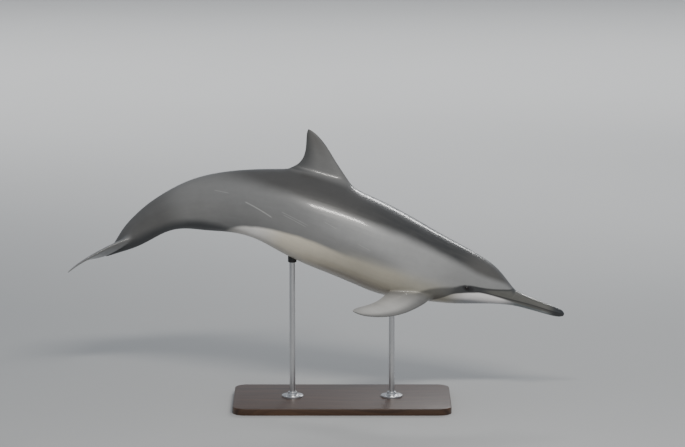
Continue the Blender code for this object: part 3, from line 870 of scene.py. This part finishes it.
def head_colour(p, colour, wander, streaks):
    """The throat with painted shade on its underside, the jaw, and the band from the beak past the eye to the
    flipper, over the body's colour.
    """
    throat = p.product(p.inverse(p.above(THROAT_TOP, 0.0035)), p.ease(p.along, 0.58, 0.5))
    # painted shade darkens the throat below its line
    throat_colour = p.mix(p.above(THROAT_SHADE_LINE, 0.012), THROAT_UNDER_SHADE, THROAT)
    throat_colour = p.change(0.36, 0.46, throat_colour, CHEST_TINT)
    jaw_colour = p.change(0.06, 0.13, JAW_FRONT, JAW)
    colour = p.mix(throat, colour, p.change(0.25, 0.17, throat_colour, jaw_colour))

    band = p.product(p.inverse(p.above(BAND_TOP, p.line(BAND_SOFTNESS))), p.inverse(throat))
    band = p.product(band, p.line(BAND_STRENGTH), p.ease(p.along, 0.62, 0.54))
    beak = p.mix(streaks, BEAK, BEAK_PALE)
    colour = p.mix(band, colour, p.change(0.27, 0.335, beak, STRIPE))
    breast = p.product(p.inverse(p.above(BREAST_EDGE, 0.012, wander)), p.between(0.42, 0.7, 0.05))
    colour = p.mix(breast, colour, BREAST)
    below_top = p.sum(p.minus(p.up, p.line(BAND_TOP)), 0.0035)
    eye_line = p.ease(p.math("ABSOLUTE", below_top), 0.005, 0.001)
    eye_line = p.product(eye_line, p.between(0.208, 0.4, 0.008), 0.65)
    colour = p.mix(eye_line, colour, STRIPE)
    return p.change(0.062, 0.018, colour, BEAK_TIP)


def face_colour(p, colour):
    """The lips, the foot of the melon, the eye patches, the ears, and painted shade in the blowhole, over the
    head's colour.
    """
    mouth = p.minus(p.up, p.line(MOUTH_LINE))
    lips = p.product(p.ease(p.math("ABSOLUTE", mouth), 0.0042, 0.0012), p.ease(p.along, 0.352, 0.34))
    colour = p.mix(p.product(lips, 0.7), colour, LIP)
    colour = p.mix(p.product(p.spot(0.203, 0.021, 0.008, 0.01, 0.8), 0.8), colour, STRIPE)
    colour = p.mix(p.spot(EYE.x - 0.006, EYE.z, 0.023, 0.0098, 0.35), colour, EYE_PATCH)
    colour = p.mix(p.spot(EAR.along, EAR.up, 0.0009, 0.0009), colour, LIP)
    # painted shade inside the blowhole's slit
    blowhole_shade = p.product(p.spot(BLOWHOLE.x, 0.09, 0.011, 0.02, 0.4), p.ease(p.out, 0.014, 0.008))
    return p.mix(p.product(blowhole_shade, 0.35), colour, LIP)


def fin_colour(p, colour):
    """The dorsal fin, the flippers and the flukes, over the body's colour."""
    chord = p.attribute("chord")
    fin = p.mix(p.ease(p.up, 0.23, 0.31), FIN, FIN_TIP)
    fin = p.mix(p.ease(chord, 0.55, 0.98), fin, FIN_EDGE)
    colour = p.mix(p.ease(p.attribute("dorsal"), 0.02, 0.2), colour, fin)
    flipper = p.attribute("flipper")
    paddle = p.mix(p.ease(flipper, 0.06, 0.48), FLIPPER_ROOT, FLIPPER_SKIN)
    paddle = p.mix(p.ease(chord, 0.35, 0.04, 0.85), paddle, FIN)
    paddle = p.mix(p.ease(flipper, 0.6, 0.98, 0.45), paddle, FIN)
    paddle = p.mix(p.ease(chord, 0.6, 1.0, 0.4), paddle, FIN)
    colour = p.mix(p.ease(flipper, 0.02, 0.22), colour, paddle)
    return p.mix(p.ease(p.attribute("fluke"), 0.02, 0.2), colour, FLUKE_SKIN)


def skin_material():
    """Wet, finely streaked skin with the animal's markings and painted shade on its undersides, duller on the
    lids.
    """
    p = BodyPattern("dolphin_skin", roughness=0.3, coat=0.32, coat_roughness=0.1)
    p.set("Specular IOR Level", 0.35)
    broad = p.noise(p.place, 9.0)
    patchy = p.noise(p.place, 34.0, 4.0, 0.6)
    fine = p.noise(p.place, 260.0, 3.0, 0.55)
    streaks = p.noise(p.times(p.place, (6.0, 60.0, 60.0)), 1.0, 4.0, 0.6)
    wander = p.product(p.minus(broad, 0.5), 0.012)
    colour = head_colour(p, body_colour(p, wander, streaks), wander, streaks)
    colour = fin_colour(p, face_colour(p, colour))

    scars = p.scratch(*MAIN_SCAR, MAIN_SCAR_HALF)
    for start, end in RAKES:
        scars = p.sum(scars, p.product(p.scratch(start, end, RAKE_HALF), 0.55))
    colour = p.mix(p.product(scars, p.sum(0.35, p.product(patchy, 0.75))), colour, SCAR)

    mottle = p.sum(0.82, p.product(patchy, 0.13), p.product(broad, 0.1), p.product(streaks, 0.14))
    p.set("Base Color", p.times(colour, mottle))
    lids = p.spot(EYE.x, EYE.z, 0.019, 0.017, 0.4)
    p.set("Roughness", p.sum(0.26, p.product(patchy, 0.14), p.product(lids, 0.25)))
    p.set("Coat Weight", p.product(p.inverse(lids), 0.32))
    rough = p.bump(fine, 0.0004, 0.35)
    p.set("Normal", p.bump(streaks, 0.0008, 0.6, rough))
    return p.material


# ------ the eyes


IRIS, IRIS_PALE, IRIS_RIM = (0.006, 0.0045, 0.004), (0.014, 0.009, 0.007), (0.01, 0.009, 0.009)
PUPIL, EYE_BACK = (0.003, 0.003, 0.004), (0.03, 0.018, 0.016)


def eye_material():
    """A dark brown iris with a darker pupil, under a clear wet front."""
    p = Pattern("dolphin_eye", roughness=0.3, coat=0.5, coat_roughness=0.03)
    p.set("Specular IOR Level", 0.15)
    place = p.attribute("ball", "Vector")
    across, out, up = p.parts(place)
    radius = p.math("SQRT", p.sum(p.product(across, across), p.product(up, up)))
    pupil_height = p.math("SQRT", p.sum(p.product(across, across, 0.45), p.product(up, up, 2.4)))
    rays = p.noise(p.times(place, (6.0, 2.0, 6.0)), 4.0, 4.0)
    colour = p.mix(p.ease(pupil_height, 0.24, 0.18), p.mix(rays, IRIS, IRIS_PALE), PUPIL)
    colour = p.mix(p.ease(radius, 0.5, 0.62), colour, IRIS_RIM)
    p.set("Base Color", p.mix(p.ease(out, 0.55, 0.35), colour, EYE_BACK))
    return p.material


def add_piece(name, mesh, place, look, sharp_angle=180):
    """Shades a mesh smooth between its sharp edges and places it on the body."""
    mesh.shade_smooth()
    if sharp_angle < 180:
        mesh.set_sharp_from_angle(angle=radians(sharp_angle))
    mesh.materials.append(look)
    obj = linked(name, mesh)
    obj.location = place
    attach(obj, "root")
    return obj


def add_eyes():
    """Smooth balls in the places of the solids' eyes, each with a slight bulge at its front."""
    look = eye_material()
    for side, name in ((1, "left"), (-1, "right")):
        low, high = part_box(f"eye_{name}")
        bm = bmesh.new()
        turn = Matrix.Rotation(radians(-90 * side), 4, "X")
        bmesh.ops.create_uvsphere(bm, u_segments=48, v_segments=32, radius=1.0, matrix=turn)
        mesh = finished(bm, f"eyeball_{name}")
        unit = rows_of(mesh.vertices, "co")
        facing = unit * (1, side, 1)
        kept = mesh.attributes.new("ball", "FLOAT_VECTOR", "POINT")
        kept.data.foreach_set("vector", flat(facing))
        bulge = 1 + EYE_BULGE * ease(facing[:, 1], 0.8, 0.97)
        mesh.vertices.foreach_set("co", flat(unit * bulge[:, None] * EYE_RADIUS))
        mesh.update()
        ball = add_piece(f"eyeball_{name}", mesh, (low + high) / 2, look)
        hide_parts(f"eye_{name}")


# ------ the stand


BASE_CORNER, BASE_TOP_EDGE, BASE_FOOT_EDGE = 0.05, 0.004, 0.001
FLANGE_GAP, FLANGE_WALL, FLANGE_PLATE = 0.0003, 0.0065, 0.007
SCREWS, SCREW_CIRCLE, SCREW_RADIUS = 3, 0.03, 0.0042
COLLAR_GAP, COLLAR_WALL = 0.0002, 0.0055
COLLAR_BELOW, COLLAR_ABOVE = 0.01, 0.004  # how far it reaches past the belly's lowest and highest points

WOOD_DARK, WOOD_PALE = (0.03, 0.016, 0.01), (0.105, 0.056, 0.032)
WOOD_FIBRE, WOOD_PORE = (0.045, 0.024, 0.015), (0.012, 0.007, 0.005)
STEEL_DARK, STEEL_PALE = (0.56, 0.56, 0.57), (0.66, 0.66, 0.66)
RUBBER_DARK, RUBBER_PALE = (0.014, 0.014, 0.014), (0.026, 0.026, 0.025)


def wood_material():
    """Dark stained wood, its grain along the base, under a satin varnish."""
    p = Pattern("stained_wood", roughness=0.45, coat=0.1, coat_roughness=0.3)
    p.set("Specular IOR Level", 0.3)
    place = p.object_place()
    sway = p.noise(p.times(place, (1.2, 5.0, 5.0)), 1.0)
    _, across, up = p.parts(place)
    rings = p.sum(p.product(across, 9.0), p.product(up, 6.0), p.product(sway, 1.6))
    bands = p.noise(p.node("CombineXYZ", (rings, 0.0, 0.0)).outputs[0], 5.0, 6.0, 0.6)
    fibres = p.noise(p.times(place, (7.0, 330.0, 330.0)), 1.0, 4.0, 0.7)
    pores = p.noise(p.times(place, (28.0, 900.0, 900.0)), 1.0, 2.0, 0.5)
    colour = p.mix(p.ease(bands, 0.3, 0.72), WOOD_DARK, WOOD_PALE)
    colour = p.mix(p.ease(fibres, 0.35, 0.75, 0.45), colour, WOOD_FIBRE)
    colour = p.mix(p.ease(pores, 0.64, 0.72, 0.7), colour, WOOD_PORE)
    p.set("Base Color", colour)
    p.set("Roughness", p.sum(0.28, p.product(fibres, 0.2)))
    p.set("Normal", p.bump(p.sum(fibres, p.product(pores, -0.6)), 0.0002, 0.4))
    return p.material


def steel_material():
    """Brushed stainless steel."""
    p = Pattern("brushed_steel", roughness=0.3, metallic=1.0)
    place = p.object_place()
    lines = p.noise(p.times(place, (60.0, 60.0, 1500.0)), 1.0, 3.0, 0.6)
    stains = p.noise(place, 18.0)
    p.set("Base Color", p.mix(stains, STEEL_DARK, STEEL_PALE))
    p.set("Roughness", p.sum(0.2, p.product(lines, 0.18), p.product(stains, 0.06)))
    p.set("Normal", p.bump(lines, 0.00004, 0.5))
    return p.material


def rubber_material():
    """Dull black rubber with a fine grain."""
    p = Pattern("black_rubber", roughness=0.6)
    place = p.object_place()
    grain = p.noise(place, 900.0, 2.0)
    p.set("Base Color", p.mix(p.noise(place, 60.0), RUBBER_DARK, RUBBER_PALE))
    p.set("Roughness", p.sum(0.48, p.product(grain, 0.22)))
    p.set("Normal", p.bump(grain, 0.00008, 0.5))
    return p.material


def turned(name, profile, place, look, segments=96):
    """A solid of revolution about a vertical axis, from (radius, height) corners listed from top to foot."""
    bm = bmesh.new()
    angles = [2 * pi * k / segments for k in range(segments)]
    rings = []
    for radius, height in profile:
        around = angles if radius else angles[:1]
        rings.append([bm.verts.new((radius * cos(a), radius * sin(a), height)) for a in around])
    for above, below in zip(rings, rings[1:] + rings[:1]):
        if len(above) + len(below) == 2:
            continue
        for k in range(segments):
            corners = [(above, k), (below, k), (below, k + 1), (above, k + 1)]
            bm.faces.new(dict.fromkeys(ring[i % len(ring)] for ring, i in corners))
    bmesh.ops.recalc_face_normals(bm, faces=bm.faces)
    return add_piece(name, finished(bm, name), place, look, 35)


def rounded(radius, height, round_by, upward=True):
    """A quarter round from the top face out to the side, or from the side in to the foot."""
    turns = [pi / 2 * k / 5 for k in range(6)]
    if upward:
        return [(radius - round_by * (1 - sin(a)), height - round_by * (1 - cos(a))) for a in turns]
    return [(radius - round_by * (1 - cos(a)), height + round_by * (1 - sin(a))) for a in turns]


def round_edges(bm, wanted, radius, steps):
    """Rounds the edges that are wanted by the heights of their two ends."""
    edges = [e for e in bm.edges if wanted(*(v.co.z for v in e.verts))]
    bmesh.ops.bevel(bm, geom=edges, offset=radius, segments=steps, profile=0.5, affect="EDGES")


def add_base(wood):
    """The board, with rounded corners and edges."""
    low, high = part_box("stand_base")
    size = high - low
    bm = bmesh.new()
    bmesh.ops.create_cube(bm, size=1.0)
    bmesh.ops.scale(bm, vec=size, verts=bm.verts)
    foot = -size.z / 2
    round_edges(bm, lambda a, b: abs(a - b) > -foot, BASE_CORNER, 24)
    round_edges(bm, lambda a, b: min(a, b) > 0, BASE_TOP_EDGE, 5)
    round_edges(bm, lambda a, b: max(a, b) < foot + 1e-6, BASE_FOOT_EDGE, 2)
    base = add_piece("display_base", finished(bm, "display_base"), (low + high) / 2, wood, 30)
    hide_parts("stand_base")


def belly_level(skin, x, y):
    """Where an upright line first meets the skin from below."""
    _, place, _, _ = skin.ray_cast(Vector((x, y, -1.0)), UP)
    return place.z


def add_rods(skin, steel, rubber):
    """Each rod with its flange, three screws, and a rubber collar where it enters the belly."""
    for name in ("front", "rear"):
        low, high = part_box(f"stand_rod_{name}")
        radius = (high.x - low.x) / 2
        x = (high.x + low.x) / 2
        profile = [(0, high.z - low.z), (radius, high.z - low.z), (radius, 0), (0, 0)]
        rod = turned(f"rod_{name}", profile, (x, 0, low.z), steel, 64)
        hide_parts(f"stand_rod_{name}")

        low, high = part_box(f"stand_flange_{name}")
        reach, tall = (high.x - low.x) / 2, high.z - low.z
        inner, boss, plate = radius + FLANGE_GAP, radius + FLANGE_WALL, FLANGE_PLATE
        profile = [(inner, tall)]
        profile += rounded(boss, tall, 0.0015)
        profile += [(boss, plate + 0.004), (boss + 0.0012, plate + 0.0012), (boss + 0.004, plate)]
        profile += rounded(reach, plate, 0.002)
        profile += [(reach, 0), (inner, 0)]
        flange = turned(f"flange_{name}", profile, (x, 0, low.z), steel)
        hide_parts(f"stand_flange_{name}")

        for k in range(SCREWS):
            angle = radians(90 + 360 * k / SCREWS)
            at = (x + SCREW_CIRCLE * cos(angle), SCREW_CIRCLE * sin(angle), low.z + plate)
            head = [(0, -0.0004), (0.0016, -0.0004), (0.0018, 0.0012)]
            head += rounded(SCREW_RADIUS, 0.0015, 0.001)
            head += [(SCREW_RADIUS, -0.001), (0, -0.001)]
            turned(f"screw_{name}_{k + 1}", head, at, steel, 24)

        wide = radius + COLLAR_WALL
        around = [2 * pi * k / 16 for k in range(16)]
        levels = [belly_level(skin, x + wide * cos(a), wide * sin(a)) for a in around]
        foot, top = min(levels) - COLLAR_BELOW, max(levels) + COLLAR_ABOVE
        profile = [(radius + COLLAR_GAP, top - foot), (wide, top - foot)]
        profile += rounded(wide, 0, 0.003, upward=False)
        profile += [(radius + COLLAR_GAP, 0)]
        turned(f"collar_{name}", profile, (x, 0, foot), rubber)


# ------ the studio

VIEW_TARGET = Vector((0.0016, 0.0, 0.707))
VIEW_ELEVATION = radians(10)
VIEW_DISTANCE = 14.0
METRES_PER_WIDTH = 2.63451  # what the frame's width covers at the target


def add_camera():
    camera = bpy.data.cameras.new("camera")
    camera.lens = camera.sensor_width * VIEW_DISTANCE / METRES_PER_WIDTH
    obj = linked("camera", camera)
    back = Vector((0, -cos(VIEW_ELEVATION), sin(VIEW_ELEVATION)))
    obj.location = VIEW_TARGET + back * VIEW_DISTANCE
    obj.rotation_euler = back.to_track_quat("Z", "Y").to_euler()
    camera.clip_end = 200.0
    bpy.context.scene.camera = obj


def add_floor():
    p = Pattern("studio_floor", roughness=0.85)
    place = p.object_place()
    p.set("Base Color", p.mix(p.noise(place, 0.8), (0.44, 0.44, 0.436), (0.46, 0.46, 0.456)))
    bm = bmesh.new()
    bmesh.ops.create_circle(bm, cap_ends=True, segments=96, radius=60.0)
    mesh = finished(bm, "floor")
    mesh.materials.append(p.material)
    floor = linked("floor", mesh)


def add_light(name, place, target, size, power, colour=(1.0, 1.0, 1.0), spread=180.0):
    lamp = bpy.data.lights.new(name, "AREA")
    lamp.shape = "RECTANGLE"
    lamp.size, lamp.size_y = size
    lamp.energy = power
    lamp.color = colour
    lamp.spread = radians(spread)
    obj = linked(name, lamp)
    obj.location = place
    obj.rotation_euler = (Vector(place) - Vector(target)).to_track_quat("Z", "Y").to_euler()


def add_lights():
    world = bpy.data.worlds.new("studio")
    world.use_nodes = True
    background = world.node_tree.nodes["Background"]
    background.inputs["Color"].default_value = (0.84, 0.91, 1.0, 1.0)
    background.inputs["Strength"].default_value = 0.46
    bpy.context.scene.world = world
    middle = (0.0, 0.0, 0.65)
    add_light("key", (0.86, -4.0, 3.8), middle, (2.2, 0.34), 190.0, (1.0, 0.97, 0.92))
    add_light("rim", (1.9, 4.8, 3.5), middle, (2.6, 0.45), 110.0)
    add_light("backdrop", (0.0, 9.5, 6.0), (0.0, 9.6, 0.0), (14.0, 8.0), 520.0, spread=90.0)


add_camera()
add_floor()
add_lights()
body_skin = add_skin()
add_eyes()
add_base(wood_material())
add_rods(body_skin, steel_material(), rubber_material())
